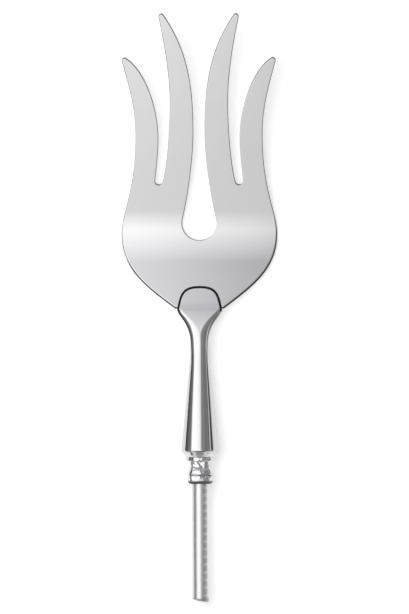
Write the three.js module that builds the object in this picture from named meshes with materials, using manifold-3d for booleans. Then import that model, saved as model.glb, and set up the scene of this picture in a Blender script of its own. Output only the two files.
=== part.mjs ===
// Cake fork without its handle: a pressed four-tine blade gripped between the lips of a
// polished bolster, a seat ring and a bush clamped behind it, and a round tang that a
// turned handle is fitted over. It lies on the belly of the blade and the rim of the bolster.
//
// Millimetres and degrees, +Z up, tines towards +Y. Lengths along Y are measured from the
// mouth of the bolster, where the shoulders of the blade stop, and heights from the tang's axis.
// A pull is how far a curve keeps its end direction, as a share of the distance it spans.

import * as THREE from 'three';
import { mergeVertices } from 'three/addons/utils/BufferGeometryUtils.js';
import Module from 'manifold-3d';

// Fits between neighbours
const clearance = 0.3;

// Blade: the sheet and its side profile
const bladeThickness = 1.5;
const gooseneckRadius = 59;
const rampAngle = 13;
const bellyRadius = 40;
const bellyLowY = 25.4;
const tineAngle = 15;

// Blade: half of its outline, seen from above
const shoulder = { halfWidth: 8.7, angle: 36.5, pull: 0.43 };
const belly = { halfWidth: 27.75, y: 26.5, lowerPull: 0.37, upperPull: 0.23 };
const waist = { halfWidth: 22.6, y: 61.8, lowerPull: 0.56, upperPull: 0.4 };
const tipRadius = 1;
const outerTipInset = 1.45;
const outerTip = { x: belly.halfWidth - outerTipInset, y: 88.2, outerAngle: -14.5, outerPull: 0.3,
  innerAngle: 122, innerPull: 0.24 };
const innerTip = { x: 13.25, y: 103.7, outerAngle: -12, outerPull: 0.32, innerAngle: 145, innerPull: 0.37 };
const sideSlot = { x: 14.3, y: 45.6, radius: 1.4, innerAngle: 194, innerPull: 0.27, outerPull: 0.02 };
const outerTineRoot = { fromSlot: 0.15, y: 60.7, upperPull: 0.39, lowerPull: 0.37 };
const innerTineRoot = { fromSlot: 3.95, y: 73.5, upperPull: 0.32, lowerPull: 0.27 };
const centreSlot = { radius: 6.15, y: 30.5, mouthAngle: 13.5, pull: 0.26 };
const centreNarrow = { halfWidth: 2, y: 63.5, upperPull: 0.35, lowerPull: 0.32 };

// Blade: the hidden tail inside the bolster
const tailLength = 8.5;
const tailRootHalfWidth = 4.5;
const tailWall = 0.75;

// Bolster: lips, gooseneck, cone and seat
const lipThickness = 1.2;
const lipLength = 8.05;
const lipEdgeRounding = 0.9;
const lipCrownPull = 0.52;
const lipSide = { angle: -85.5, pull: 0.5 };
const mouth = { halfWidth: 8.1, pull: 0.24 };
const facet = { endY: -9.8, taper: 1.75, angle: 14.5 };
const neck = { halfWidth: 3.45, halfHeight: 2.95, y: -12.3, upperPull: 0.61, lowerPull: 0.4 };
const coneTop = { halfWidth: 3.95, y: -21.9, pull: 0.4 };
const rim = { radius: 6.85, y: -50.9, chamferLength: 2 };
const boreDepth = 12;

// Seat ring and bush
const ringThickness = 1.5;
const ringOverhang = 0.2;
const ringLedge = 1.15;
const bushLength = 8;
const bushWall = 0.75;
const bushSwell = 0.4;
const bushWidestFromRing = 5.2;
const bushSwellPull = 0.7;
const bushRounding = 1.1;

// Tang
const tangRadius = 3;
const tangExposedLength = 41.8;
const tangEndAngle = 9;
const tangChamfer = 0.4;

// Facets
const arcSteps = 8;
const outlineSteps = 12;
const sectionPoints = 48;
const facetShare = 0.2;
const turnedSegments = 48;
const turnedSteps = 5;

// Sizes that follow from those above
const tailEndHalfWidth = neck.halfWidth - clearance - tailWall;
const boreRadius = tangRadius + clearance;
const bushNeckRadius = boreRadius + bushWall;
const bushRadius = bushNeckRadius + bushSwell;
const ringRadius = bushNeckRadius + ringLedge;
const seatRadius = ringRadius - ringOverhang;
const seatY = rim.y - rim.chamferLength;
const boreEndY = seatY + boreDepth;
const ringEndY = seatY - ringThickness;
const bushEndY = ringEndY - bushLength;
const tangEndY = bushEndY - tangExposedLength;

const mergeDistance = 1e-4;
const { degToRad: radians, radToDeg: degrees, lerp } = THREE.MathUtils;
const up = 90;
const down = -90;
const wasm = await Module();
wasm.setup();

// Joins and cuts
function solidFrom(geometry) {
  const bare = geometry.clone();
  bare.deleteAttribute('normal');
  bare.deleteAttribute('uv');
  const merged = mergeVertices(bare, mergeDistance);
  return new wasm.Manifold(new wasm.Mesh({
    numProp: 3,
    vertProperties: new Float32Array(merged.attributes.position.array),
    triVerts: new Uint32Array(merged.index.array),
  }));
}

function geometryFrom(solid) {
  const mesh = solid.getMesh();
  const geometry = new THREE.BufferGeometry();
  geometry.setAttribute('position', new THREE.BufferAttribute(new Float32Array(mesh.vertProperties), 3));
  geometry.setIndex(new THREE.BufferAttribute(new Uint32Array(mesh.triVerts), 1));
  geometry.computeVertexNormals();
  return geometry;
}

// Side profile of the sheet: level at the neck, down the ramp, round the belly, up the tines
const rampStartY = neck.y + gooseneckRadius * Math.sin(radians(rampAngle));
const rampStartZ = gooseneckRadius * (Math.cos(radians(rampAngle)) - 1);
const bellyStartY = bellyLowY - bellyRadius * Math.sin(radians(rampAngle));
const bellyEndY = bellyLowY + bellyRadius * Math.sin(radians(tineAngle));
const bellyStartZ = rampStartZ - (bellyStartY - rampStartY) * Math.tan(radians(rampAngle));
const bellyCentreZ = bellyStartZ + bellyRadius * Math.cos(radians(rampAngle));

function slopeAt(y) {
  if (y <= neck.y) return 0;
  if (y <= rampStartY) return -Math.asin((y - neck.y) / gooseneckRadius);
  if (y <= bellyStartY) return -radians(rampAngle);
  if (y <= bellyEndY) return Math.asin((y - bellyLowY) / bellyRadius);
  return radians(tineAngle);
}

function heightAt(y) {
  const slope = slopeAt(y);
  if (y <= rampStartY) return gooseneckRadius * (Math.cos(slope) - 1);
  if (y <= bellyStartY) return rampStartZ + (y - rampStartY) * Math.tan(slope);
  const arcEnd = Math.min(y, bellyEndY);
  const arcZ = bellyCentreZ - bellyRadius * Math.cos(slopeAt(arcEnd));
  return arcZ + (y - arcEnd) * Math.tan(slope);
}

function profileStations(fromY, toY) {
  const stations = [];
  for (let i = 0; i <= arcSteps; i += 1) {
    stations.push(neck.y + gooseneckRadius * Math.sin(radians(rampAngle * i / arcSteps)));
  }
  const bellySteps = 2 * arcSteps;
  for (let i = 0; i <= bellySteps; i += 1) {
    const angle = lerp(-rampAngle, tineAngle, i / bellySteps);
    stations.push(bellyLowY + bellyRadius * Math.sin(radians(angle)));
  }
  return [fromY, ...stations.filter((y) => y > fromY && y < toY), toY];
}

// A bent strip of sheet that follows the side profile, extruded across the fork
function sheetStrip(halfThickness, fromY, toY, halfWidth) {
  const offsetPoint = (y, side) => {
    const slope = slopeAt(y);
    return new THREE.Vector2(y - side * Math.sin(slope), heightAt(y) + side * Math.cos(slope));
  };
  const stations = profileStations(fromY, toY);
  const top = stations.map((y) => offsetPoint(y, halfThickness));
  const bottom = stations.map((y) => offsetPoint(y, -halfThickness));
  const shape = new THREE.Shape([...bottom, ...top.reverse()]);
  const geometry = new THREE.ExtrudeGeometry(shape, { depth: 2 * halfWidth, bevelEnabled: false });
  geometry.translate(0, 0, -halfWidth);
  const acrossFork = new THREE.Matrix4().makeBasis(
    new THREE.Vector3(0, 1, 0), new THREE.Vector3(0, 0, 1), new THREE.Vector3(1, 0, 0));
  return geometry.applyMatrix4(acrossFork);
}

// A plan outline, mirrored about the fork's middle and extruded well past the bent sheet
function planPrism(halfPoints) {
  const mirrored = halfPoints.map((p) => new THREE.Vector2(-p.x, p.y)).reverse();
  const offMiddle = (p) => Math.abs(p.x) > mergeDistance;
  const shape = new THREE.Shape([...halfPoints, ...mirrored.filter(offMiddle)]);
  const halfDepth = innerTip.y;
  const geometry = new THREE.ExtrudeGeometry(shape, { depth: 2 * halfDepth, bevelEnabled: false });
  return geometry.translate(0, 0, -halfDepth);
}

function polar(centre, radius, angle) {
  return { x: centre.x + radius * Math.cos(radians(angle)), y: centre.y + radius * Math.sin(radians(angle)) };
}

// A curve that leaves its start and reaches its end in stated directions
function curveTo(path, startAngle, startPull, end, endAngle, endPull) {
  const start = path.currentPoint.clone();
  const span = Math.hypot(end.x - start.x, end.y - start.y);
  const first = polar(start, startPull * span, startAngle);
  const second = polar(end, -endPull * span, endAngle);
  path.bezierCurveTo(first.x, first.y, second.x, second.y, end.x, end.y);
}

// Half of the blade's outline, from the tail round the outer and inner tine to the centre slot
function bladeOutline() {
  const path = new THREE.Path();
  const roundTip = (tip, startPull) => {
    const outside = polar(tip, tipRadius, tip.outerAngle);
    curveTo(path, up, startPull, outside, tip.outerAngle + up, tip.outerPull);
    path.absarc(tip.x, tip.y, tipRadius, radians(tip.outerAngle), radians(tip.innerAngle), false);
  };

  path.moveTo(0, -tailLength);
  path.lineTo(tailEndHalfWidth, -tailLength);
  path.lineTo(tailRootHalfWidth, 0);
  path.lineTo(shoulder.halfWidth, 0);
  const widest = { x: belly.halfWidth, y: belly.y };
  curveTo(path, shoulder.angle, shoulder.pull, widest, up, belly.lowerPull);
  curveTo(path, up, belly.upperPull, { x: waist.halfWidth, y: waist.y }, up, waist.lowerPull);

  roundTip(outerTip, waist.upperPull);
  const slotOutside = { x: sideSlot.x + outerTineRoot.fromSlot, y: outerTineRoot.y };
  curveTo(path, outerTip.innerAngle + up, outerTip.innerPull, slotOutside, down, outerTineRoot.upperPull);
  const slotEnd = { x: sideSlot.x + sideSlot.radius, y: sideSlot.y };
  curveTo(path, down, outerTineRoot.lowerPull, slotEnd, down, sideSlot.outerPull);
  path.absarc(sideSlot.x, sideSlot.y, sideSlot.radius, 0, radians(sideSlot.innerAngle), true);

  const slotInside = { x: sideSlot.x - innerTineRoot.fromSlot, y: innerTineRoot.y };
  curveTo(path, sideSlot.innerAngle + down, sideSlot.innerPull, slotInside, up, innerTineRoot.lowerPull);
  roundTip(innerTip, innerTineRoot.upperPull);
  const narrow = { x: centreNarrow.halfWidth, y: centreNarrow.y };
  curveTo(path, innerTip.innerAngle + up, innerTip.innerPull, narrow, down, centreNarrow.upperPull);
  const slotMouth = polar({ x: 0, y: centreSlot.y }, centreSlot.radius, centreSlot.mouthAngle);
  curveTo(path, down, centreNarrow.lowerPull, slotMouth, centreSlot.mouthAngle + down, centreSlot.pull);
  path.absarc(0, centreSlot.y, centreSlot.radius, radians(centreSlot.mouthAngle), radians(down), true);
  return path.getPoints(outlineSteps);
}

function bladeGeometry() {
  const pastTip = innerTip.y + 2 * tipRadius;
  const strip = sheetStrip(bladeThickness / 2, -2 * tailLength, pastTip, 2 * belly.halfWidth);
  return geometryFrom(solidFrom(strip).intersect(solidFrom(planPrism(bladeOutline()))));
}

// Half-widths of the bolster along the fork, from the crown of its lips to its seat
function bolsterSilhouette() {
  const path = new THREE.Path();
  path.moveTo(0, lipLength);
  curveTo(path, 0, lipCrownPull, { x: mouth.halfWidth, y: 0 }, lipSide.angle, lipSide.pull);
  curveTo(path, down, mouth.pull, { x: neck.halfWidth, y: neck.y }, down, neck.upperPull);
  const coneAngle = down + degrees(Math.atan((rim.radius - coneTop.halfWidth) / (coneTop.y - rim.y)));
  curveTo(path, down, neck.lowerPull, { x: coneTop.halfWidth, y: coneTop.y }, coneAngle, coneTop.pull);
  path.lineTo(rim.radius, rim.y);
  path.lineTo(seatRadius, seatY);
  const pastCrown = 1;
  return path.getPoints(outlineSteps).slice(pastCrown);
}

// The flat top of the bolster: as wide as the lips, then tapering to nothing at the neck
function facetHalfWidth(halfWidth, y) {
  if (y >= 0) return Math.max(0, halfWidth - lipEdgeRounding);
  if (y <= facet.endY) return 0;
  return (mouth.halfWidth - lipEdgeRounding) * (1 - y / facet.endY) ** facet.taper;
}

// Half the height of the lips and what they hold
function lipStackAt(y) {
  return (bladeThickness / 2 + clearance + lipThickness) / Math.cos(slopeAt(y));
}

// Height of the flat top behind the lips: it leaves them at its own angle and is level at the neck
function facetHeightAt(y) {
  const mouthHeight = heightAt(0) + lipStackAt(0);
  const straightRise = -neck.y * Math.tan(radians(facet.angle));
  const share = y / neck.y;
  const smooth = share ** 2 * (3 - 2 * share);
  return lerp(mouthHeight, neck.halfHeight, smooth) + straightRise * share * (1 - share) ** 2;
}

// Half the bolster's height: the lips, rounded at the crown, then the flat top down to the oval neck,
// and a cone that is round from its rim on
function halfHeightAt(halfWidth, y) {
  const coneShare = Math.min(1, (neck.y - y) / (neck.y - rim.y));
  if (y <= neck.y) return halfWidth * lerp(neck.halfHeight / neck.halfWidth, 1, coneShare);
  if (y < 0) return facetHeightAt(y) - heightAt(y);
  const intoCrown = Math.max(0, y - lipLength + lipEdgeRounding);
  const crownDrop = lipEdgeRounding - Math.sqrt(lipEdgeRounding ** 2 - intoCrown ** 2);
  return lipStackAt(y) - crownDrop;
}

// One cross-section: flat on top with rounded flanks at the lips, oval from the neck on
function bolsterSection(halfWidth, y) {
  const flat = facetHalfWidth(halfWidth, y);
  const halfHeight = halfHeightAt(halfWidth, y);
  const flatTurn = facetShare * Math.min(1, flat / lipEdgeRounding);
  const flankTurn = 1 - flatTurn;
  const corner = (turn) => {
    if (turn > flankTurn) return [flat * (1 - turn) / flatTurn, halfHeight];
    const angle = radians(up) * turn / flankTurn;
    return [flat + (halfWidth - flat) * Math.cos(angle), halfHeight * Math.sin(angle)];
  };
  const points = [];
  for (let i = 0; i < sectionPoints; i += 1) {
    const quarters = 4 * i / sectionPoints;
    const quarter = Math.floor(quarters);
    const goingUp = quarter % 2 === 0;
    const [across, upward] = corner(goingUp ? quarters - quarter : quarter + 1 - quarters);
    const side = quarter === 0 || quarter === 3 ? 1 : -1;
    const face = quarter < 2 ? 1 : -1;
    points.push(new THREE.Vector3(side * across, y, heightAt(y) + face * upward));
  }
  return points;
}

// A skin over a row of sections, closed at both ends
function loft(sections) {
  const count = sections[0].length;
  const faces = [];
  for (let ring = 0; ring + 1 < sections.length; ring += 1) {
    for (let i = 0; i < count; i += 1) {
      const a = ring * count + i;
      const b = ring * count + (i + 1) % count;
      faces.push(a, b, a + count, b, b + count, a + count);
    }
  }
  const last = (sections.length - 1) * count;
  for (let i = 1; i + 1 < count; i += 1) {
    faces.push(0, i + 1, i);
    faces.push(last, last + i, last + i + 1);
  }
  const geometry = new THREE.BufferGeometry().setFromPoints(sections.flat());
  geometry.setIndex(faces);
  return geometry;
}

// A body turned about the tang's axis
function turned(profile) {
  return new THREE.LatheGeometry(profile.map(([radius, y]) => new THREE.Vector2(radius, y)), turnedSegments);
}

// The slot that takes the blade: open between the lips, with a pocket for the tail behind them
function slotSolid() {
  const past = 2 * mouth.halfWidth;
  const outline = [
    [0, -tailLength - clearance],
    [tailEndHalfWidth + clearance, -tailLength - clearance],
    [tailRootHalfWidth + clearance, -clearance],
    [past, -clearance],
    [past, 2 * lipLength],
    [0, 2 * lipLength],
  ].map(([x, y]) => new THREE.Vector2(x, y));
  const strip = sheetStrip(bladeThickness / 2 + clearance, -2 * tailLength, 2 * lipLength, past);
  return solidFrom(strip).intersect(solidFrom(planPrism(outline)));
}

function bolsterGeometry() {
  const sections = bolsterSilhouette().map((point) => bolsterSection(point.x, point.y));
  const pastSeatY = seatY - boreDepth;
  const bore = turned([[0, pastSeatY], [boreRadius, pastSeatY], [boreRadius, boreEndY], [0, boreEndY]]);
  return geometryFrom(solidFrom(loft(sections)).subtract(slotSolid()).subtract(solidFrom(bore)));
}

// The ring: outside the belly of the bush, its end is the ledge that a handle's mouth bears on
function ringGeometry() {
  return turned([[boreRadius, ringEndY], [bushRadius, ringEndY], [ringRadius, ringEndY],
    [ringRadius, seatY], [boreRadius, seatY], [boreRadius, ringEndY]]);
}

// A pot-shaped bush: a narrow neck under the ring, a full belly and a rounded end
function bushGeometry() {
  const widestY = ringEndY - bushWidestFromRing;
  const side = new THREE.Path();
  side.moveTo(boreRadius, bushEndY);
  side.lineTo(bushRadius - bushRounding, bushEndY);
  side.quadraticCurveTo(bushRadius, bushEndY, bushRadius, bushEndY + bushRounding);
  side.lineTo(bushRadius, widestY);
  side.quadraticCurveTo(bushRadius, lerp(widestY, ringEndY, bushSwellPull), bushNeckRadius, ringEndY);
  side.lineTo(boreRadius, ringEndY);
  side.lineTo(boreRadius, bushEndY);
  return turned(side.getPoints(turnedSteps).map((p) => [p.x, p.y]));
}

// The tang: its head sits in the bolster's bore, its free end is sawn off at a slant
function tangGeometry() {
  const headY = boreEndY - clearance;
  const pastEndY = tangEndY - 2 * tangRadius;
  const rod = turned([[0, pastEndY], [tangRadius, pastEndY], [tangRadius, headY - tangChamfer],
    [tangRadius - tangChamfer, headY], [0, headY]]);
  const sawSize = 8 * tangRadius;
  const saw = new THREE.BoxGeometry(sawSize, sawSize, sawSize);
  saw.translate(0, -sawSize / 2, 0);
  saw.rotateZ(-radians(tangEndAngle));
  saw.translate(0, tangEndY, 0);
  return geometryFrom(solidFrom(rod).subtract(solidFrom(saw)));
}

// Finishes
function steel(color, roughness) {
  return new THREE.MeshStandardMaterial({ color, roughness, metalness: 1 });
}

const polishedSheet = steel(0xd2d4d6, 0.25);
const brightPlate = steel(0xdddfe1, 0.08);
const drawnRod = steel(0xbfc2c5, 0.38);

const fork = new THREE.Group();

function addPart(name, geometry, material) {
  const mesh = new THREE.Mesh(geometry, material);
  mesh.name = name;
  fork.add(mesh);
}

addPart('fork_blade', bladeGeometry(), polishedSheet);
addPart('bolster', bolsterGeometry(), brightPlate);
addPart('seat_ring', ringGeometry(), brightPlate);
addPart('tang_bush', bushGeometry(), brightPlate);
addPart('tang_rod', tangGeometry(), drawnRod);

// Lay the fork on the floor, with its origin under the middle of its box
const box = new THREE.Box3().setFromObject(fork);
const middle = box.getCenter(new THREE.Vector3());
fork.position.set(-middle.x, -middle.y, -box.min.z);

export default fork;
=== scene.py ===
import math
from types import SimpleNamespace as Sizes

import bmesh
import bpy
from mathutils import Matrix, Vector, noise
from mathutils.geometry import interpolate_bezier
from mathutils.kdtree import KDTree


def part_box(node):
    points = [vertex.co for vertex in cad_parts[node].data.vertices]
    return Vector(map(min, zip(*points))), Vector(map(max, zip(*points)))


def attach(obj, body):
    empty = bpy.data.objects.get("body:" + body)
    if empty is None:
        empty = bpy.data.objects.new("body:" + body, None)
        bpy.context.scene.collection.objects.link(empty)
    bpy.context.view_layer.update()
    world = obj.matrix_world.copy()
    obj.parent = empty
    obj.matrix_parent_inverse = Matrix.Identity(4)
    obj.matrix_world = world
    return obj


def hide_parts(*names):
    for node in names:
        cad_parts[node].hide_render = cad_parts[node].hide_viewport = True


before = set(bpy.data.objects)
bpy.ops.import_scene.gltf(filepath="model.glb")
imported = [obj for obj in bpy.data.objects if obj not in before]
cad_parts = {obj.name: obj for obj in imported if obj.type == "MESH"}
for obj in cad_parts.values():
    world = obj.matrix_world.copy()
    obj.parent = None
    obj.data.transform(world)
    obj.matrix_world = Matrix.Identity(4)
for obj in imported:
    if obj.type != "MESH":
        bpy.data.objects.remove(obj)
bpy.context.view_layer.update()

# Millimetres and degrees. X runs across the fork, Y along it from the mouth of the bolster towards
# the tines, and Z up from the axis of the tang. A pull is how far a curve keeps its end direction,
# as a share of the distance it spans.
mm = 0.001
up = 90
down = -90

# The pressed sheet and its side profile
sheet = Sizes(thickness=1.5)
# The rim of the sheet: width, depth and steps round it, and the other sizes place painted shade on it, which
# stands in for the dark the rounding mirrors.
sheet_rim = Sizes(width=0.68, depth=0.5, steps=5, tine_share=0.42, wide_y=20, thin_y=36, keyhole_x=7,
                  dull_from=0.03, dull_to=0.2, tine_dullness=0.75, polished_y=19, dull_y=14,
                  tip_start_y=68, tip_end_y=86, side_facing=-0.1, left_facing=-0.5)
profile = Sizes(neck_y=-12.3, gooseneck_radius=59, ramp_angle=13,
                belly_radius=40, belly_low_y=25.4, tine_angle=15)
press_line_gap = Sizes(bend=0.5, flat=6)

# Half of the sheet's outline, seen from above
tail = Sizes(length=8.5, root_half_width=4.5, end_half_width=2.4)
shoulder = Sizes(half_width=8.7, angle=36.5, pull=0.43)
belly = Sizes(half_width=27.75, y=26.5, lower_pull=0.37, upper_pull=0.23)
waist = Sizes(half_width=22.6, y=61.8, lower_pull=0.56, upper_pull=0.4)
tip_radius = 1
outer_tip = Sizes(x=26.3, y=88.2, outer_angle=-14.5, outer_pull=0.3, inner_angle=122, inner_pull=0.24)
inner_tip = Sizes(x=13.25, y=103.7, outer_angle=-12, outer_pull=0.32, inner_angle=145, inner_pull=0.37)
side_slot = Sizes(x=14.3, y=45.6, radius=1.4, inner_angle=194, inner_pull=0.27, outer_pull=0.02)
outer_tine_root = Sizes(from_slot=0.15, y=60.7, upper_pull=0.39, lower_pull=0.37)
inner_tine_root = Sizes(from_slot=3.95, y=73.5, upper_pull=0.32, lower_pull=0.27)
keyhole = Sizes(radius=6.15, y=30.5, mouth_angle=13.5, pull=0.26)
narrow = Sizes(half_width=2, y=63.5, upper_pull=0.35, lower_pull=0.32)

# The bolster: lips, gooseneck with a flat facet, neck, cone, rim and seat
lip = Sizes(thickness=1.2, length=8.05, rest_gap=0.3, crown_pull=0.52, side_angle=-80, side_pull=0.5,
            swell=0.1, swell_y=3)
mouth = Sizes(half_width=8, pull=0.24)
facet = Sizes(end_y=-9.8, taper=1.75, angle=15.8, flank_angle=16, lip_crease=0.2, neck_crease=0.9)
lip_edge = Sizes(width=0.85, drop=1.3)
neck_edge = Sizes(width=1.6, drop=0.66)
neck = Sizes(half_width=3.45, half_height=2.95, y=profile.neck_y, upper_pull=0.61, lower_pull=0.4)
cone_top = Sizes(half_width=3.95, y=-21.9, pull=0.4)
rim = Sizes(radius=6.85, y=-50.65, rounding=0.8, pull=0.5)
seat = Sizes(radius=5, y=-52.9)
fullness = Sizes(neck=2.3, rim=2.12)
round_from_y = -5
lip_end_y = -1.5
# The seam's width, fade and end place painted shade along the lips' edge. Its gap is the slot's clearance.
seam = Sizes(gap=0.03, width=0.74, fade=0.12, end_y=-0.8)
bore = Sizes(radius=3.02, end_y=-40.9)

# Seat ring, bush and tang
ring = Sizes(radius=5.2, end_y=-54.4, rounding=0.4, lump_from=4.3)
bush = Sizes(neck_radius=3.75, neck_end_y=-55.6, radius=4.5, widest_y=-58.7, swell_pull=0.35,
             bead_y=-60.2, bead_pull=0.45, end_radius=4.1, end_y=-62.4, end_pull=0.55, rounding=0.9,
             lump_from=3.3)
groove = Sizes(y=-59.35, depth=0.22, half_width=0.45, edge_pull=0.5, floor_pull=0.2)
# Where painted shade darkens the bush's groove and its end.
bush_shade = Sizes(groove=0.7, patch_start=-0.5, patch_full=0.2, end=0.8, start_y=-61.1, full_y=-61.7)
solder = Sizes(wave=2, depth=0.5, squareness=3.1)
tang = Sizes(radius=3, head_y=-41.2, end_y=-104.2, end_angle=9, end_rounding=0.8, end_steps=3)

# How finely the pieces are cut
outline_steps = 28
plan_steps = 800
section_steps = 48
section_top_points = 44
section_side_points = 8
turned_steps = 10
turned_segments = 128

# How close points count as one, and which angle between faces makes an edge
weld_distance = 1e-4
saw_cut_distance = 1e-3
corner_angle = 57
crease_angle = 35

# Where the drawing lies in the frame
tang_low, tang_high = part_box("tang_rod")
drawing_origin = Vector((0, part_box("bolster")[0].y - seat.y * mm, (tang_low.z + tang_high.z) / 2))


def heading(angle):
    """A unit step in a direction of the plan."""
    return Vector((math.cos(math.radians(angle)), math.sin(math.radians(angle)), 0))


def blend(first, second, share):
    return first + (second - first) * share


def eased(value, low, high):
    """Goes smoothly from 0 at low to 1 at high."""
    share = min(1, max(0, (value - low) / (high - low)))
    return share * share * (3 - 2 * share)


class Pencil:
    """Draws an outline as Bezier knots. A knot holds its point and the handles before and after it."""

    def __init__(self, x, y):
        start = Vector((x, y, 0))
        self.knots = [Sizes(before=start, point=start, after=start)]

    def add(self, after_last, before, point):
        self.knots[-1].after = after_last
        self.knots.append(Sizes(before=before, point=point, after=point))

    def line_to(self, x, y):
        start = self.knots[-1].point
        end = Vector((x, y, 0))
        self.add(blend(start, end, 1 / 3), blend(end, start, 1 / 3), end)

    def curve_to(self, start_angle, start_pull, x, y, end_angle, end_pull):
        """A curve that leaves its start and reaches its end in stated directions."""
        start = self.knots[-1].point
        end = Vector((x, y, 0))
        span = (end - start).length
        first = start + heading(start_angle) * start_pull * span
        self.add(first, end - heading(end_angle) * end_pull * span, end)

    def arc(self, x, y, radius, start_angle, end_angle):
        """An arc about a centre, in pieces of at most a quarter turn."""
        centre = Vector((x, y, 0))
        pieces = math.ceil(abs(end_angle - start_angle) / 90)
        turn = (end_angle - start_angle) / pieces
        handle = radius * math.tan(math.radians(turn) / 4) * 4 / 3
        for piece in range(pieces):
            angle = start_angle + piece * turn
            start = centre + heading(angle) * radius
            end = centre + heading(angle + turn) * radius
            leave = start + heading(angle + up) * handle
            self.add(leave, end - heading(angle + turn + up) * handle, end)

    def mirror(self):
        """Adds the same outline on the other side of the middle, back to the start."""
        flip = Matrix.Diagonal((-1, 1, 1))
        self.knots[-1].after = flip @ self.knots[-1].before
        self.knots[0].before = flip @ self.knots[0].after
        for knot in self.knots[-2:0:-1]:
            flipped = Sizes(before=flip @ knot.after, point=flip @ knot.point, after=flip @ knot.before)
            self.knots.append(flipped)

    def points(self, steps):
        """The outline as a row of points."""
        row = [self.knots[0].point]
        for last, knot in zip(self.knots, self.knots[1:]):
            row += interpolate_bezier(last.point, last.after, knot.before, knot.point, steps + 1)[1:]
        return row

    def drawn(self, name, steps, closed=True):
        """The outline as a new piece made of edges."""
        bpy.ops.object.select_all(action="DESELECT")
        bpy.ops.curve.primitive_bezier_curve_add()
        curve = bpy.context.object
        spline = curve.data.splines[0]
        spline.bezier_points.add(len(self.knots) - len(spline.bezier_points))
        for spot, knot in zip(spline.bezier_points, self.knots):
            spot.handle_left_type = "FREE"
            spot.handle_right_type = "FREE"
            spot.co = knot.point
            spot.handle_left = knot.before
            spot.handle_right = knot.after
        spline.use_cyclic_u = closed
        spline.resolution_u = steps
        bpy.ops.object.convert(target="MESH")
        piece = bpy.context.object
        piece.name = name
        return piece


# Work in edit mode

def select_only(piece):
    bpy.ops.object.select_all(action="DESELECT")
    bpy.context.view_layer.objects.active = piece
    piece.select_set(True)


def start_edit(piece):
    select_only(piece)
    bpy.ops.object.mode_set(mode="EDIT")
    bpy.ops.mesh.select_mode(type="EDGE")
    bpy.ops.mesh.select_all(action="SELECT")


def end_edit():
    bpy.ops.object.mode_set(mode="OBJECT")


def select_edges(piece, wanted):
    """Selects only the edges that pass a test."""
    mesh = bmesh.from_edit_mesh(piece.data)
    bpy.ops.mesh.select_all(action="DESELECT")
    for one in mesh.edges:
        one.select_set(wanted(one))
    bmesh.update_edit_mesh(piece.data)


def turn_outwards():
    """Welds the seams and points every face outwards."""
    bpy.ops.mesh.select_all(action="SELECT")
    bpy.ops.mesh.remove_doubles(threshold=weld_distance)
    bpy.ops.mesh.normals_make_consistent(inside=False)


def cut_across(y):
    """Adds a line of edges straight across the fork."""
    bpy.ops.mesh.select_all(action="SELECT")
    bpy.ops.mesh.bisect(plane_co=(0, y, 0), plane_no=(0, 1, 0))


def apply_modifier(piece, kind, **settings):
    select_only(piece)
    modifier = piece.modifiers.new(kind.title(), kind)
    for name, value in settings.items():
        setattr(modifier, name, value)
    bpy.ops.object.modifier_apply(modifier=modifier.name)


def cut_away(piece, cutter):
    """Takes a cutter's shape out of a piece and throws the cutter away."""
    apply_modifier(piece, "BOOLEAN", operation="DIFFERENCE", solver="EXACT", object=cutter)
    bpy.data.objects.remove(cutter)


def lay_in_frame(piece, sharp_angle=None):
    """Brings a piece from the drawing into the frame and smooths its shading."""
    select_only(piece)
    piece.scale = (mm, mm, mm)
    piece.location = drawing_origin
    bpy.ops.object.transform_apply(location=True, rotation=True, scale=True)
    if sharp_angle is None:
        bpy.ops.object.shade_smooth()
    else:
        bpy.ops.object.shade_smooth_by_angle(angle=math.radians(sharp_angle))


def hand_over(piece, node, material):
    """Gives a piece its finish and puts it in the place of its node."""
    piece.data.materials.clear()
    piece.data.materials.append(material)
    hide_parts(node)
    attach(piece, "root")


# Side profile of the sheet: level at the neck, down the ramp, round the belly, up the tines

def rise(angle):
    return math.sin(math.radians(angle))


def run(angle):
    return math.cos(math.radians(angle))


ramp_start_y = profile.neck_y + profile.gooseneck_radius * rise(profile.ramp_angle)
ramp_start_z = profile.gooseneck_radius * (run(profile.ramp_angle) - 1)
belly_start_y = profile.belly_low_y - profile.belly_radius * rise(profile.ramp_angle)
belly_end_y = profile.belly_low_y + profile.belly_radius * rise(profile.tine_angle)
belly_start_z = ramp_start_z - (belly_start_y - ramp_start_y) * math.tan(math.radians(profile.ramp_angle))
belly_centre_z = belly_start_z + profile.belly_radius * run(profile.ramp_angle)


def slope_at(y):
    if y <= profile.neck_y:
        return 0
    if y <= ramp_start_y:
        return -math.asin((y - profile.neck_y) / profile.gooseneck_radius)
    if y <= belly_start_y:
        return -math.radians(profile.ramp_angle)
    if y <= belly_end_y:
        return math.asin((y - profile.belly_low_y) / profile.belly_radius)
    return math.radians(profile.tine_angle)


def height_at(y):
    slope = slope_at(y)
    if y <= ramp_start_y:
        return profile.gooseneck_radius * (math.cos(slope) - 1)
    if y <= belly_start_y:
        return ramp_start_z + (y - ramp_start_y) * math.tan(slope)
    arc_end = min(y, belly_end_y)
    arc_z = belly_centre_z - profile.belly_radius * math.cos(slope_at(arc_end))
    return arc_z + (y - arc_end) * math.tan(slope)


def press_lines():
    """Where the flat sheet is cut across before it is pressed: close together in the bends."""
    lines = []
    y = -tail.length
    while y < inner_tip.y:
        lines.append(y)
        bends = y < ramp_start_y or belly_start_y - press_line_gap.flat < y < belly_end_y
        y += press_line_gap.bend if bends else press_line_gap.flat
    return lines + [belly_start_y, belly_end_y]


def raise_plate(piece, thickness):
    """Fills an outline and gives it its thickness, half of it on either side."""
    start_edit(piece)
    bpy.ops.mesh.edge_face_add()
    bpy.ops.transform.translate(value=(0, 0, -thickness / 2))
    bpy.ops.mesh.extrude_region_move(TRANSFORM_OT_translate={"value": (0, 0, thickness)})
    turn_outwards()
    end_edit()


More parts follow.
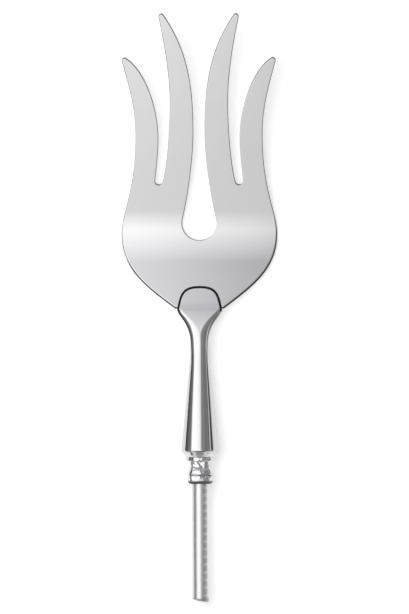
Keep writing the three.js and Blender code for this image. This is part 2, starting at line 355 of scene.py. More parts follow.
def rim_share(x, y):
    """How broad the rim of the blade is: fully at the shoulders, finely along the tines."""
    broad = eased(y, sheet_rim.thin_y, sheet_rim.wide_y) if abs(x) > sheet_rim.keyhole_x else 0
    return blend(sheet_rim.tine_share, 1, broad)


def round_rim(piece):
    """Rounds the rim of the blade."""
    start_edit(piece)
    mesh = bmesh.from_edit_mesh(piece.data)
    weights = mesh.edges.layers.float.new("bevel_weight_edge")
    for one in mesh.edges:
        first, second = (corner.co for corner in one.verts)
        upright = abs(first.z - second.z) > sheet.thickness / 2
        x, y, _ = (first + second) / 2
        if one.calc_face_angle(0) > math.radians(corner_angle) and not upright:
            one[weights] = rim_share(x, y)
    bmesh.update_edit_mesh(piece.data)
    end_edit()
    apply_modifier(piece, "BEVEL", limit_method="WEIGHT", width=sheet_rim.width,
                   segments=sheet_rim.steps, use_clamp_overlap=False)


def paint_rim_shade(piece):
    """Marks the rim of the flat blade with painted shade, standing in for the dark its rounding mirrors. The
    shade is left off the left-facing rim from shoulder to tip, where it mirrors the light.
    """
    marks = piece.data.attributes.new("cut_edge", "FLOAT", "POINT")
    for vertex, mark in zip(piece.data.vertices, marks.data):
        x, y, z = vertex.co
        share = rim_share(x, y)
        down_rim = (sheet.thickness / 2 - abs(z)) / (sheet_rim.depth * share)
        faces_left = eased(vertex.normal.x, sheet_rim.side_facing, sheet_rim.left_facing)
        at_tip = eased(y, sheet_rim.tip_start_y, sheet_rim.tip_end_y)
        unshaded = faces_left * eased(y, sheet_rim.dull_y, sheet_rim.polished_y) * (1 - at_tip)
        shade_strength = blend(sheet_rim.tine_dullness, 1, max(share, at_tip)) * (1 - unshaded)
        mark.value = eased(down_rim, sheet_rim.dull_from, sheet_rim.dull_to) * shade_strength


def press(piece):
    """Bends a flat plate to the side profile."""
    start_edit(piece)
    for y in press_lines():
        cut_across(y)
    end_edit()
    for vertex in piece.data.vertices:
        x, y, from_middle = vertex.co
        slope = slope_at(y)
        vertex.co = (x, y - from_middle * math.sin(slope), height_at(y) + from_middle * math.cos(slope))


# Pieces

def blade_outline():
    pencil = Pencil(0, -tail.length)

    def round_tip(tip, start_pull):
        outside = Vector((tip.x, tip.y, 0)) + heading(tip.outer_angle) * tip_radius
        pencil.curve_to(up, start_pull, outside.x, outside.y, tip.outer_angle + up, tip.outer_pull)
        pencil.arc(tip.x, tip.y, tip_radius, tip.outer_angle, tip.inner_angle)

    pencil.line_to(tail.end_half_width, -tail.length)
    pencil.line_to(tail.root_half_width, 0)
    pencil.line_to(shoulder.half_width, 0)
    pencil.curve_to(shoulder.angle, shoulder.pull, belly.half_width, belly.y, up, belly.lower_pull)
    pencil.curve_to(up, belly.upper_pull, waist.half_width, waist.y, up, waist.lower_pull)

    round_tip(outer_tip, waist.upper_pull)
    slot_outside = side_slot.x + outer_tine_root.from_slot
    pencil.curve_to(outer_tip.inner_angle + up, outer_tip.inner_pull,
                    slot_outside, outer_tine_root.y, down, outer_tine_root.upper_pull)
    pencil.curve_to(down, outer_tine_root.lower_pull,
                    side_slot.x + side_slot.radius, side_slot.y, down, side_slot.outer_pull)
    pencil.arc(side_slot.x, side_slot.y, side_slot.radius, 0, side_slot.inner_angle - 360)

    slot_inside = side_slot.x - inner_tine_root.from_slot
    pencil.curve_to(side_slot.inner_angle + down, side_slot.inner_pull,
                    slot_inside, inner_tine_root.y, up, inner_tine_root.lower_pull)
    round_tip(inner_tip, inner_tine_root.upper_pull)
    pencil.curve_to(inner_tip.inner_angle + up, inner_tip.inner_pull,
                    narrow.half_width, narrow.y, down, narrow.upper_pull)
    slot_mouth = Vector((0, keyhole.y, 0)) + heading(keyhole.mouth_angle) * keyhole.radius
    pencil.curve_to(down, narrow.lower_pull,
                    slot_mouth.x, slot_mouth.y, keyhole.mouth_angle + down, keyhole.pull)
    pencil.arc(0, keyhole.y, keyhole.radius, keyhole.mouth_angle, down)
    pencil.mirror()
    return pencil


def make_blade(material):
    piece = blade_outline().drawn("blade_sheet", outline_steps)
    stretch = sheet_rim.width / sheet_rim.depth
    raise_plate(piece, sheet.thickness * stretch)
    round_rim(piece)
    piece.scale.z = 1 / stretch
    bpy.ops.object.transform_apply(location=False, rotation=False, scale=True)
    paint_rim_shade(piece)
    press(piece)
    lay_in_frame(piece)
    apply_modifier(piece, "WEIGHTED_NORMAL", mode="FACE_AREA", weight=50)
    hand_over(piece, "fork_blade", material)


def bolster_silhouette():
    """Half-widths of the bolster along the fork, from the crown of its lips to its seat."""
    pencil = Pencil(0, lip.length)
    pencil.curve_to(0, lip.crown_pull, mouth.half_width, 0, lip.side_angle, lip.side_pull)
    pencil.curve_to(down, mouth.pull, neck.half_width, neck.y, down, neck.upper_pull)
    cone_lean = math.degrees(math.atan((rim.radius - cone_top.half_width) / (cone_top.y - rim.y)))
    pencil.curve_to(down, neck.lower_pull, cone_top.half_width, cone_top.y, down + cone_lean, cone_top.pull)
    rim_start = Vector((rim.radius, rim.y, 0)) - heading(down + cone_lean) * rim.rounding
    pencil.line_to(rim_start.x, rim_start.y)
    chamfer = (Vector((seat.radius, seat.y, 0)) - Vector((rim.radius, rim.y, 0))).normalized()
    rim_end = Vector((rim.radius, rim.y, 0)) + chamfer * rim.rounding
    chamfer_angle = math.degrees(math.atan2(chamfer.y, chamfer.x))
    pencil.curve_to(down + cone_lean, rim.pull, rim_end.x, rim_end.y, chamfer_angle, rim.pull)
    pencil.line_to(seat.radius, seat.y)
    return pencil


def lip_stack(y):
    """Half the height of the lips and what they hold. They swell a little towards the mouth."""
    swell = lip.swell * max(0, 1 - y / lip.swell_y) ** 2
    return (sheet.thickness / 2 + lip.rest_gap + lip.thickness) / math.cos(slope_at(y)) + swell


def facet_height(y):
    """Height of the flat top behind the lips. It leaves them at an angle and is level at the neck."""
    mouth_height = height_at(0) + lip_stack(0)
    straight_rise = -neck.y * math.tan(math.radians(facet.angle))
    share = y / neck.y
    stepped_rise = blend(mouth_height, neck.half_height, eased(y, 0, neck.y))
    return stepped_rise + straight_rise * share * (1 - share) ** 2


def down_the_cone(y):
    """Goes from 0 at the neck to 1 at the rim."""
    return min(1, max(0, (neck.y - y) / (neck.y - rim.y)))


def half_height(half_width, y):
    """Half the height: the lips, the flat top down to the neck, then a cone that is round at its rim."""
    if y <= neck.y:
        return half_width * blend(neck.half_height / neck.half_width, 1, down_the_cone(y))
    if y < 0:
        return facet_height(y) - height_at(y)
    return lip_stack(y)


def facet_half_width(half_width, y):
    if y >= 0:
        return max(0, half_width - lip_edge.width)
    if y <= facet.end_y:
        return 0
    return (mouth.half_width - lip_edge.width) * (1 - y / facet.end_y) ** facet.taper


def boxy_top(x, y, half_width, from_edge):
    """Height of the top: a flat facet, flanks that lean away from it and a rounded edge."""
    past_lip = eased(y, 0, lip_end_y)
    crease = blend(facet.lip_crease, facet.neck_crease, past_lip)
    width = blend(lip_edge.width, neck_edge.width, past_lip)
    drop = blend(lip_edge.drop, neck_edge.drop, past_lip)
    past_facet = x - facet_half_width(half_width, y)
    leaning = max(0, past_facet) ** 2 / (4 * crease)
    if past_facet > 2 * crease:
        leaning = past_facet - crease
    into_edge = max(0, 1 - from_edge / width)
    rounding = drop * into_edge ** 2
    return half_height(half_width, y) - math.tan(math.radians(facet.flank_angle)) * leaning - rounding


def bolster_quarter(half_width, y, outline):
    """A quarter of a cross-section, from the middle of the top to the middle of the side."""
    roundness = eased(y, round_from_y, cone_top.y)
    tall = half_height(half_width, y)
    power = 2 / blend(fullness.neck, fullness.rim, down_the_cone(y))
    count = section_top_points + section_side_points
    quarter = []
    for step in range(count + 1):
        turn = math.radians(up) * step / count
        round_spot = Vector((half_width * math.sin(turn) ** power, tall * abs(math.cos(turn)) ** power))
        if roundness == 1:
            quarter.append(round_spot)
            continue
        x = half_width * math.sin(math.radians(up) * min(1, step / section_top_points))
        z = boxy_top(x, y, half_width, outline.find((x, y, 0))[2])
        if step > section_top_points:
            z *= 1 - (step - section_top_points) / section_side_points
        quarter.append(blend(Vector((x, z)), round_spot, roundness))
    return quarter


def bolster_plan():
    """The edge of the bolster seen from above, to measure how far a point lies from it."""
    points = [p for p in bolster_silhouette().points(plan_steps) if p.y > cone_top.y]
    plan = KDTree(len(points))
    for index, point in enumerate(points):
        plan.insert(point, index)
    plan.balance()
    return plan


def bolster_rings(plan):
    """The cross-sections along the bolster, each as a ring of points."""
    rings = []
    for half_width, y, _ in bolster_silhouette().points(section_steps):
        quarter = bolster_quarter(half_width, y, plan)
        right_top = [(p.x, p.y) for p in quarter[:-1]]
        right_bottom = [(p.x, -p.y) for p in quarter[:0:-1]]
        half = right_top + right_bottom
        whole = half + [(-x, -z) for x, z in half]
        rings.append([Vector((x, y, height_at(y) + z)) for x, z in whole])
    return rings


def paint_seam_shade(piece, plan):
    """Marks the edge of the lips, by the joint with the blade, for painted shade. It stands in for the shadow
    in the gap and the dark the rounded edge mirrors.
    """
    marks = piece.data.attributes.new("seam", "FLOAT", "POINT")
    for vertex, mark in zip(piece.data.vertices, marks.data):
        x, y, _ = vertex.co
        from_edge = plan.find((abs(x), y, 0))[2]
        at_edge = eased(from_edge, seam.width + seam.fade, seam.width)
        mark.value = at_edge * eased(y, 2 * seam.end_y, seam.end_y)


def slot_cutter():
    """The slot between the lips and the pocket behind it, a hair wider than the blade."""
    past = 2 * mouth.half_width
    pencil = Pencil(0, -tail.length - seam.gap)
    pencil.line_to(tail.end_half_width + seam.gap, -tail.length - seam.gap)
    pencil.line_to(tail.root_half_width + seam.gap, -seam.gap)
    pencil.line_to(past, -seam.gap)
    pencil.line_to(past, 2 * lip.length)
    pencil.line_to(0, 2 * lip.length)
    pencil.mirror()
    cutter = pencil.drawn("slot_cutter", 1)
    raise_plate(cutter, sheet.thickness + 2 * seam.gap)
    press(cutter)
    return cutter


def bore_cutter():
    depth = bore.end_y - tang.end_y
    bpy.ops.object.select_all(action="DESELECT")
    bpy.ops.mesh.primitive_cylinder_add(
        vertices=turned_segments, radius=bore.radius, depth=depth,
        location=(0, bore.end_y - depth / 2, 0), rotation=(math.radians(up), 0, 0))
    return bpy.context.object


def make_bolster(material):
    plan = bolster_plan()
    rings = bolster_rings(plan)
    around = len(rings[0])
    along = len(rings) - 1
    bpy.ops.object.select_all(action="DESELECT")
    bpy.ops.mesh.primitive_grid_add(x_subdivisions=around, y_subdivisions=along, size=2)
    piece = bpy.context.object
    piece.name = "bolster_casting"
    for vertex in piece.data.vertices:
        column = round((vertex.co.x + 1) / 2 * around) % around
        row = round((vertex.co.y + 1) / 2 * along)
        vertex.co = rings[row][column]
    start_edit(piece)
    turn_outwards()
    bpy.ops.mesh.select_all(action="DESELECT")
    bpy.ops.mesh.select_non_manifold()
    bpy.ops.mesh.edge_face_add()
    turn_outwards()
    end_edit()
    cut_away(piece, slot_cutter())
    cut_away(piece, bore_cutter())
    paint_seam_shade(piece, plan)
    lay_in_frame(piece, sharp_angle=crease_angle)
    hand_over(piece, "bolster", material)


def spun(name, pencil):
    """A body turned about the tang's axis from its profile."""
    piece = pencil.drawn(name, turned_steps, closed=False)
    start_edit(piece)
    bpy.ops.mesh.spin(steps=turned_segments, angle=math.radians(360), center=(0, 0, 0), axis=(0, 1, 0))
    turn_outwards()
    end_edit()
    return piece


def lump(piece, inner_radius, outer_radius):
    """Leaves the outside of a turned piece uneven, as solder does."""
    outside = piece.vertex_groups.new(name="outside")
    for vertex in piece.data.vertices:
        radius = math.hypot(vertex.co.x, vertex.co.z)
        outside.add([vertex.index], eased(radius, inner_radius, outer_radius), "REPLACE")
    waves = bpy.data.textures.new("solder_waves", "CLOUDS")
    waves.noise_scale = solder.wave
    apply_modifier(piece, "DISPLACE", texture=waves, strength=solder.depth, mid_level=0.5,
                   vertex_group=outside.name)


def make_ring(material):
    pencil = Pencil(bore.radius, seat.y)
    pencil.line_to(ring.radius - ring.rounding, seat.y)
    pencil.arc(ring.radius - ring.rounding, seat.y - ring.rounding, ring.rounding, up, 0)
    pencil.line_to(ring.radius, ring.end_y + ring.rounding)
    pencil.arc(ring.radius - ring.rounding, ring.end_y + ring.rounding, ring.rounding, 0, down)
    pencil.line_to(bore.radius, ring.end_y)
    pencil.line_to(bore.radius, seat.y)
    piece = spun("ring_turned", pencil)
    lump(piece, ring.lump_from, ring.radius)
    lay_in_frame(piece, sharp_angle=crease_angle)
    hand_over(piece, "seat_ring", material)


def paint_bush_shade(piece):
    """Marks the groove and the end of the bush for painted shade, in patches along the groove."""
    marks = piece.data.attributes.new("seam", "FLOAT", "POINT")
    for vertex, mark in zip(piece.data.vertices, marks.data):
        y = vertex.co.y
        patch = noise.noise(vertex.co / solder.wave)
        from_groove = abs(y + patch * groove.half_width - groove.y)
        in_patch = eased(patch, bush_shade.patch_start, bush_shade.patch_full)
        in_groove = eased(from_groove, groove.half_width, 0) * in_patch
        at_end = eased(y, bush_shade.start_y, bush_shade.full_y)
        mark.value = max(in_groove * bush_shade.groove, at_end * bush_shade.end)


def make_bush(material):
    floor_radius = bush.radius - groove.depth
    pencil = Pencil(bore.radius, ring.end_y)
    pencil.line_to(bush.neck_radius, ring.end_y)
    pencil.line_to(bush.neck_radius, bush.neck_end_y)
    pencil.curve_to(down, bush.swell_pull, bush.radius, bush.widest_y, down, bush.swell_pull)
    pencil.line_to(bush.radius, groove.y + groove.half_width)
    pencil.curve_to(down, groove.edge_pull, floor_radius, groove.y, down, groove.floor_pull)
    pencil.curve_to(down, groove.floor_pull,
                    bush.radius, groove.y - groove.half_width, down, groove.edge_pull)
    pencil.line_to(bush.radius, bush.bead_y)
    pencil.curve_to(down, bush.bead_pull, bush.end_radius - bush.rounding, bush.end_y, 180, bush.end_pull)
    pencil.line_to(bore.radius, bush.end_y)
    pencil.line_to(bore.radius, ring.end_y)
    piece = spun("bush_turned", pencil)
    for vertex in piece.data.vertices:
        x, y, z = vertex.co
        radius = math.hypot(x, z)
        across = abs(x / radius) ** solder.squareness
        upwards = abs(z / radius) ** solder.squareness
        corner = (across + upwards) ** (-1 / solder.squareness)
        squared = blend(1, corner, eased(radius, bore.radius, bush.neck_radius))
        vertex.co = (x * squared, y, z * squared)
    paint_bush_shade(piece)
    lump(piece, bush.lump_from, bush.neck_radius)
    lay_in_frame(piece, sharp_angle=crease_angle)
    hand_over(piece, "tang_bush", material)


def make_tang(material):
    past_end = tang.end_y - 2 * tang.radius
    pencil = Pencil(0, tang.head_y)
    pencil.line_to(tang.radius, tang.head_y)
    pencil.line_to(tang.radius, past_end)
    pencil.line_to(0, past_end)
    piece = spun("tang_drawn", pencil)
    start_edit(piece)
    saw_middle = Vector((0, tang.end_y, 0))
    saw_normal = heading(down - tang.end_angle)
    bpy.ops.mesh.bisect(plane_co=saw_middle, plane_no=saw_normal, use_fill=True, clear_outer=True)

    def at_saw_cut(one):
        from_middle = (corner.co - saw_middle for corner in one.verts)
        return all(abs(offset.dot(saw_normal)) < saw_cut_distance for offset in from_middle)

    select_edges(piece, at_saw_cut)
    bpy.ops.mesh.bevel(offset=tang.end_rounding, segments=tang.end_steps, affect="EDGES")
    turn_outwards()
    end_edit()
    lay_in_frame(piece, sharp_angle=crease_angle)
    hand_over(piece, "tang_rod", material)


# Finishes

class Wire:
    """An output socket on which arithmetic adds Math nodes."""

    def __init__(self, shader, socket):
        self.shader = shader
        self.socket = socket

    def maths(self, operation, first, second):
        return self.shader.node("ShaderNodeMath", {"operation": operation}, {0: first, 1: second})

    def __add__(self, other):
        return self.maths("ADD", self, other)

    def __radd__(self, other):
        return self.maths("ADD", other, self)

    def __sub__(self, other):
        return self.maths("SUBTRACT", self, other)

    def __rsub__(self, other):
        return self.maths("SUBTRACT", other, self)

    def __mul__(self, other):
        return self.maths("MULTIPLY", self, other)

    def __truediv__(self, other):
        return self.maths("DIVIDE", self, other)

    def share(self, low, high):
        """Goes evenly from 0 at low to 1 at high."""
        return self.shader.node("ShaderNodeMapRange", {}, {"Value": self, "From Min": low, "From Max": high})

    def eased(self, low, high):
        """Goes smoothly from 0 at low to 1 at high."""
        sockets = {"Value": self, "From Min": low, "From Max": high}
        return self.shader.node("ShaderNodeMapRange", {"interpolation_type": "SMOOTHSTEP"}, sockets)


class Shader:
    """The nodes of a material or of the world, started empty."""

    def __init__(self, owner):
        owner.use_nodes = True
        self.tree = owner.node_tree
        self.tree.nodes.clear()

    def node(self, kind, settings=None, sockets=None, output=0):
        """Adds a node with its settings and the values or wires of its sockets, and returns an output."""
        made = self.tree.nodes.new(kind)
        for name, value in (settings or {}).items():
            if name == "stops":
                self.set_stops(made.color_ramp, value)
            else:
                setattr(made, name, value)
        for name, value in (sockets or {}).items():
            if isinstance(value, Wire):
                self.tree.links.new(value.socket, made.inputs[name])
            else:
                made.inputs[name].default_value = value
        return Wire(self, made.outputs[output]) if made.outputs else made

    def set_stops(self, ramp, stops):
        while len(ramp.elements) < len(stops):
            ramp.elements.new(1)
        for element, (position, grey) in zip(ramp.elements, stops):
            element.position = position
            element.color = (grey, grey, grey, 1)

    def place(self):
        """Where a point lies on the object, in metres."""
        return self.node("ShaderNodeTexCoord", output="Object")

    def coordinate(self, axis):
        """How far along an axis a point lies on the object, in metres."""
        return self.node("ShaderNodeSeparateXYZ", {}, {0: self.place()}, output=axis)

    def mark(self, name):
        """How strongly a point is marked in the mesh."""
        return self.node("ShaderNodeAttribute", {"attribute_name": name}, output="Fac")

    def noise(self, size, detail=2):
        """Clouded noise whose features have a stated size along each axis, in millimetres."""
        scale = [1 / (length * mm) for length in size]
        stretched = self.node("ShaderNodeMapping", {}, {"Vector": self.place(), "Scale": scale})
        return self.node("ShaderNodeTexNoise", {}, {"Vector": stretched, "Scale": 1, "Detail": detail}, "Fac")

    def finish(self, base_color, roughness, height, depth):
        """Ends a material in bare metal, with a colour, a roughness and a relief."""
        bump = self.node("ShaderNodeBump", {}, {"Height": height, "Distance": depth, "Strength": 1})
        metal = self.node("ShaderNodeBsdfPrincipled", {}, {
            "Base Color": base_color, "Roughness": roughness, "Normal": bump, "Metallic": 1})
        self.node("ShaderNodeOutputMaterial", {}, {"Surface": metal})

    def mixed(self, share, first, second):
        """A colour that goes from one to another."""
        return self.node("ShaderNodeMix", {"data_type": "RGBA"}, {0: share, 6: first, 7: second}, output=2)


# Looks of the metals. Noise sizes and depths of relief are in millimetres.
sheet_look = Sizes(dark=(0.67, 0.67, 0.67, 1), bright=(0.7, 0.7, 0.7, 1), rim=(0.025, 0.025, 0.025, 1),
                   grain=(0.12, 9, 0.12), grain_detail=3, wipes=(14, 9, 14),
                   roughness=0.1, wipe_roughness=0.02, grain_roughness=0.02, relief=0.0003)
# The darkest colour of the plate is painted shade, for the lips' edge and the bush's groove and end.
plate_look = Sizes(dark=(0.64, 0.64, 0.643, 1), bright=(0.68, 0.68, 0.683, 1),
                   solder=(0.76, 0.76, 0.762, 1), joint=(0.006, 0.006, 0.007, 1),
                   polish_end=0.7, solder_start=1.6,
                   waves=(5, 9, 5), lumps=(1.2, 1, 1.2), lump_relief=30, haze=(3, 6, 3), haze_detail=4,
                   roughness=0.035, haze_roughness=0.03, joint_roughness=0.4, solder_roughness=0.1,
                   relief=0.003)
rod_look = Sizes(dark=(0.73, 0.73, 0.733, 1), bright=(0.9, 0.9, 0.903, 1),
                 marked=(0.36, 0.36, 0.36, 1), mark_share=0.5, sawn=(0.5, 0.5, 0.5, 1),
                 lines=(0.25, 14, 0.25), line_detail=3, blotches=(0.5, 0.7, 0.5), blotch_edge=(0.3, 0.5),
                 pitch=2.74, beat_edge=(-0.9, 0.2), inner_edge=(0.4 * mm, 1.5 * mm),
                 outer_edge=(2.2 * mm, 2.7 * mm), sawn_full=0.3, sawn_start=1.6,
                 roughness=0.34, line_roughness=0.06, side_roughness=0.17,
                 line_relief=0.2, mark_relief=1.4, relief=0.03)


def polished_sheet():
    """Satin sheet steel, with a fine grain along the fork, a few soft wiping marks and painted shade on its
    rim.
    """
    look = sheet_look
    material = bpy.data.materials.new("polished_sheet")
    shader = Shader(material)
    grain = shader.noise(look.grain, look.grain_detail)
    wipes = shader.noise(look.wipes)
    unshaded = shader.mixed(wipes, look.dark, look.bright)
    # The rim colour is painted shade, for the dark that the rounded rim mirrors.
    color = shader.mixed(shader.mark("cut_edge"), unshaded, look.rim)
    roughness = look.roughness + wipes * look.wipe_roughness + grain * look.grain_roughness
    shader.finish(color, roughness, grain, look.relief * mm)
    return material


def bright_plate():
    """Mirror plate with slow waves and faint haze. It is lumpy solder past the rim, with painted shade at the
    lips' edge and in the bush's groove and end.
    """
    look = plate_look
    material = bpy.data.materials.new("bright_plate")
    shader = Shader(material)
    rim_y = drawing_origin.y + rim.y * mm
    y = shader.coordinate("Y")
    unpolished = 1 - y.eased(rim_y - look.solder_start * mm, rim_y - look.polish_end * mm)
    waves = shader.noise(look.waves) + unpolished * shader.noise(look.lumps) * look.lump_relief
    haze = shader.noise(look.haze, look.haze_detail)
    # The seam mark is painted shade at the lips' edge and in the bush's groove and end.
    joint = shader.mark("seam")
    unshaded = shader.mixed(haze, look.dark, look.bright)
    bright = shader.mixed(unpolished, unshaded, look.solder)
    color = shader.mixed(joint, bright, look.joint)
    smooth = look.roughness + haze * look.haze_roughness
    roughness = smooth + joint * look.joint_roughness + unpolished * look.solder_roughness
    shader.finish(color, roughness, waves, look.relief * mm)
    return material


def drawn_rod():
    """Drawn rod, with die lines along it, faint rolled marks down one side and painted shade at its sawn,
    rounded end.
    """
    look = rod_look
    material = bpy.data.materials.new("drawn_rod")
    shader = Shader(material)
    x = shader.coordinate("X")
    y = shader.coordinate("Y")
    lines = shader.noise(look.lines, look.line_detail)
    blotches = shader.noise(look.blotches)
    turns = y * (2 * math.pi / (look.pitch * mm))
    beat = shader.node("ShaderNodeMath", {"operation": "SINE"}, {0: turns})
    side = x.eased(*look.inner_edge) - x.eased(*look.outer_edge)
    marks = side * beat.eased(*look.beat_edge) * blotches.eased(*look.blotch_edge)
    end_y = drawing_origin.y + tang.end_y * mm
    from_saw = y - x * math.tan(math.radians(tang.end_angle))
    # Painted shade near the sawn end, standing in for the darker reflection of its rounding.
    sawn = 1 - from_saw.eased(end_y + look.sawn_full * mm, end_y + look.sawn_start * mm)
    drawn = shader.mixed(lines, look.dark, look.bright)
    marked = shader.mixed(marks * look.mark_share, drawn, look.marked)
    color = shader.mixed(sawn, marked, look.sawn)
    roughness = look.roughness + lines * look.line_roughness + side * look.side_roughness
    shader.finish(color, roughness, lines * look.line_relief + marks * look.mark_relief, look.relief * mm)
    return material


# Studio, in metres. The tent is an arch along the fork. Its bands give the brightness of the cloth by
# its angle from straight up, with the left side negative. Its zones start and end at stated distances
# along the fork, as shares of the tent's radius, and the window lights its end wall at stated heights.
tent = Sizes(radius=0.55, half_length=0.7, segments=96, hem_z=-0.01)
tent_band = Sizes(
    near=[(-90, 0.05), (-60, 0.06), (-54, 0.3), (-46, 1), (-28, 1.1), (-12, 1.05), (-2.4, 0.955),
          (1.9, 0.85), (5, 0.79), (9, 0.68), (13, 0.3), (30, 0.22), (50, 0.05), (62, 0.05), (84, 0.05),
          (88, 0.4)],
    over=[(-90, 0.08), (-84, 0.1), (-77, 0.22), (-69, 0.33), (-61, 0.2), (-56, 0.25), (-52, 0.5),
          (-46, 1.45), (-40, 1.6), (-20, 1.6), (-8, 1.52), (-2.4, 1.47), (-1.1, 1.28), (1.9, 1.2),
          (3.4, 1.03), (7, 0.33), (14, 0.33), (20, 0.36), (27, 0.22), (33, 0.18), (39, 0.25),
          (46, 0.29), (50, 0.24), (53, 0.11), (56, 0.11), (58, 1.15), (61.5, 1.15), (64, 0.3),
          (67, 0.2), (70, 0.03), (80, 0.03), (83.5, 0.9)],
    far=[(-90, 0.03), (-62, 0.05), (-54, 0.4), (-46, 1.3), (-30, 1.55), (-20, 1.35), (-8, 1.05),
         (-2.4, 1.04), (-1.1, 0.88), (1.9, 0.65), (3.4, 0.58), (7, 0.26), (12, 0.2), (30, 0.23),
         (50, 0.16), (60, 0.04), (66, 0.4), (70, 0.04), (90, 0.02)],
    low=[(-90, 1), (-58, 1), (-46, 0), (40, 0), (56, 1), (90, 1)])
tent_zone = Sizes(near_to_over=(-0.45, -0.077), over_to_far=(-0.077, 0.515),
                  beside_start=(-0.02, 0.05), beside_end=(0.5, 0.65),
                  front_corners=(0.55, 0.8), back_corners=(-0.8, -0.55), past_tips=(0.52, 0.74),
                  past_tang=(-0.92, -0.72), behind_start=(-1.1, -1.02), behind_end=(-0.9, -0.82),
                  end_wall=(-1.25, -1.15), window_low=(0.05, 0.09), window_high=(0.27, 0.31))
tent_glow = Sizes(least=0.02, past_tips=0.42, low=0.14, corners=0.4, behind_tang=0.3, window=0.3,
                  end_wall=0.05, blue=0.05)
table_top = Sizes(size=12, color=(0.8, 0.8, 0.8, 1), glow=0.46, mirrored_share=0.8)
lamp = Sizes(x=-0.1, y=0.02, z=0.48, size=0.24, power=0.62)
card_x = 0.057
dark_card = Sizes(start_y=-0.15, end_y=0, height=0.03, low=0.05, high=0.2)
fill_card = Sizes(start_y=0, end_y=0.115, height=0.05, low=0.25, high=0.5)
photo = Sizes(width=409, height=614, mm_per_pixel=0.356, middle_x=199.6, mouth_y=308.5, lean=0.2)
camera_height = 4


def angle_stops(pairs):
    """Stops of a ramp over the tent's arch, from the floor on the left to the floor on the right."""
    return [((angle + 90) / 180, grey) for angle, grey in pairs]


def light_tent():
    """A tent of cloth over the table: lit over the fork and on its left, in shade on its right."""
    material = bpy.data.materials.new("tent_cloth")
    shader = Shader(material)
    x, y, z = (shader.coordinate(axis) for axis in "XYZ")
    arch = shader.node("ShaderNodeMath", {"operation": "ARCTAN2"}, {0: x, 1: z}) / math.pi + 0.5
    along = y / tent.radius

    def band(pairs):
        return shader.node("ShaderNodeValToRGB", {"stops": angle_stops(pairs)}, {"Fac": arch})

    near = band(tent_band.near)
    over = band(tent_band.over)
    far = band(tent_band.far)
    low = band(tent_band.low)
    towards_tips = along.share(*tent_zone.over_to_far)
    beside = along.eased(*tent_zone.beside_start) * (1 - along.eased(*tent_zone.beside_end))
    corners = along.eased(*tent_zone.front_corners) + 1 - along.eased(*tent_zone.back_corners)
    past_tips = along.eased(*tent_zone.past_tips)
    past_tang = 1 - along.eased(*tent_zone.past_tang)
    behind_tang = along.eased(*tent_zone.behind_start) * (1 - along.eased(*tent_zone.behind_end))
    end_wall = 1 - along.eased(*tent_zone.end_wall)
    window = z.eased(*tent_zone.window_low) * (1 - z.eased(*tent_zone.window_high))
    glow = near + (over - near) * along.share(*tent_zone.near_to_over)
    glow = glow + (far - glow) * towards_tips
    glow = glow * (1 - past_tips) * (1 - past_tang) + past_tips * tent_glow.past_tips + tent_glow.least
    glow = glow + low * ((1 - beside) * tent_glow.low + corners * tent_glow.corners)
    glow = glow + behind_tang * tent_glow.behind_tang
    glow = glow + end_wall * (window * tent_glow.window + tent_glow.end_wall)
    cool = glow * (1 + towards_tips * tent_glow.blue)
    color = shader.node("ShaderNodeCombineXYZ", {}, {"X": glow, "Y": glow, "Z": cool})
    light = shader.node("ShaderNodeEmission", {}, {"Color": color})
    shader.node("ShaderNodeOutputMaterial", {}, {"Surface": light})

    bpy.ops.object.select_all(action="DESELECT")
    bpy.ops.mesh.primitive_cylinder_add(
        vertices=tent.segments, radius=tent.radius, depth=2 * tent.half_length,
        rotation=(math.radians(up), 0, 0))
    cloth = bpy.context.object
    cloth.name = "light_tent"
    bpy.ops.object.transform_apply(rotation=True)
    start_edit(cloth)
    bpy.ops.mesh.bisect(plane_co=(0, 0, tent.hem_z), plane_no=(0, 0, 1), clear_inner=True)
    end_edit()
    cloth.data.materials.append(material)
    cloth.visible_camera = False


def table():
    """A white table that keeps the shadow, and that the camera and the metal see as white."""
    material = bpy.data.materials.new("white_table")
    shader = Shader(material)
    seen = shader.node("ShaderNodeLightPath", output="Is Camera Ray")
    mirrored = shader.node("ShaderNodeLightPath", output="Is Glossy Ray")
    through = shader.node("ShaderNodeLightPath", output="Is Transmission Ray")
    glow = (seen + (mirrored + through) * table_top.mirrored_share) * table_top.glow
    matt = shader.node("ShaderNodeBsdfDiffuse", {}, {"Color": table_top.color})
    white = shader.node("ShaderNodeEmission", {}, {"Color": glow})
    both = shader.node("ShaderNodeAddShader", {}, {0: matt, 1: white})
    shader.node("ShaderNodeOutputMaterial", {}, {"Surface": both})
    bpy.ops.object.select_all(action="DESELECT")
    bpy.ops.mesh.primitive_plane_add(size=table_top.size)
    top = bpy.context.object
    top.name = "white_table"
    top.data.materials.append(material)


def soft_lamp():
    """A lamp over the left of the fork. It casts the shadows and isn't mirrored in the metal."""
    bpy.ops.object.select_all(action="DESELECT")
    bpy.ops.object.light_add(type="AREA", location=(lamp.x, lamp.y, lamp.z))
    light = bpy.context.object
    light.name = "soft_lamp"
    light.rotation_euler = (-light.location).to_track_quat("-Z", "Y").to_euler()
    light.data.shape = "DISK"
    light.data.size = lamp.size
    light.data.energy = lamp.power
    light.visible_camera = False
    light.visible_glossy = False


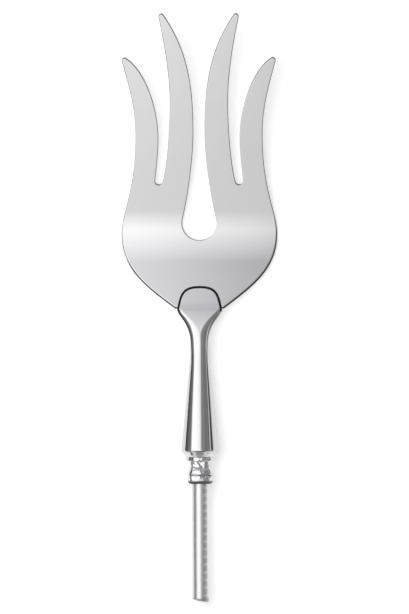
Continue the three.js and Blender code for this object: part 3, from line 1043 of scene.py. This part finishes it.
def stand_card(name, side, card):
    """A card that stands beside the fork and is seen only in the metal. It is brighter at its top."""
    material = bpy.data.materials.new(name)
    shader = Shader(material)
    z = shader.coordinate("Z")
    glow = card.low + z.share(-card.height / 2, card.height / 2) * (card.high - card.low)
    light = shader.node("ShaderNodeEmission", {}, {"Color": glow})
    shader.node("ShaderNodeOutputMaterial", {}, {"Surface": light})
    bpy.ops.object.select_all(action="DESELECT")
    middle = (side * card_x, (card.start_y + card.end_y) / 2, card.height / 2)
    bpy.ops.mesh.primitive_plane_add(size=1, location=middle, rotation=(0, math.radians(up), 0))
    board = bpy.context.object
    board.name = name
    board.scale = (card.height, card.end_y - card.start_y, 1)
    bpy.ops.object.transform_apply(location=False, rotation=True, scale=True)
    board.data.materials.append(material)
    board.visible_camera = False
    board.visible_diffuse = False
    board.visible_shadow = False


def white_surroundings():
    world = bpy.data.worlds.new("white_surroundings")
    shader = Shader(world)
    white = shader.node("ShaderNodeBackground", {}, {"Color": (1, 1, 1, 1), "Strength": 1})
    shader.node("ShaderNodeOutputWorld", {}, {"Surface": white})
    bpy.context.scene.world = world


def overhead_camera():
    """Looks straight down, from far enough to see the outline without perspective."""
    bpy.ops.object.select_all(action="DESELECT")
    right_of_middle = (photo.width / 2 - photo.middle_x) * photo.mm_per_pixel * mm
    past_mouth = (photo.mouth_y - photo.height / 2) * photo.mm_per_pixel * mm
    place = drawing_origin + Vector((right_of_middle, past_mouth, camera_height))
    bpy.ops.object.camera_add(location=place, rotation=(0, 0, math.radians(-photo.lean)))
    camera = bpy.context.object
    seen_height = photo.height * photo.mm_per_pixel * mm
    camera.data.lens = camera.data.sensor_width * camera_height / seen_height
    camera.data.clip_end = 2 * camera_height
    bpy.context.scene.camera = camera


bpy.context.scene.view_settings.view_transform = "Standard"
overhead_camera()
white_surroundings()
table()
light_tent()
soft_lamp()
stand_card("dark_card", -1, dark_card)
stand_card("left_fill_card", -1, fill_card)
stand_card("right_fill_card", 1, fill_card)

plate = bright_plate()
make_blade(polished_sheet())
make_bolster(plate)
make_ring(plate)
make_bush(plate)
make_tang(drawn_rod())
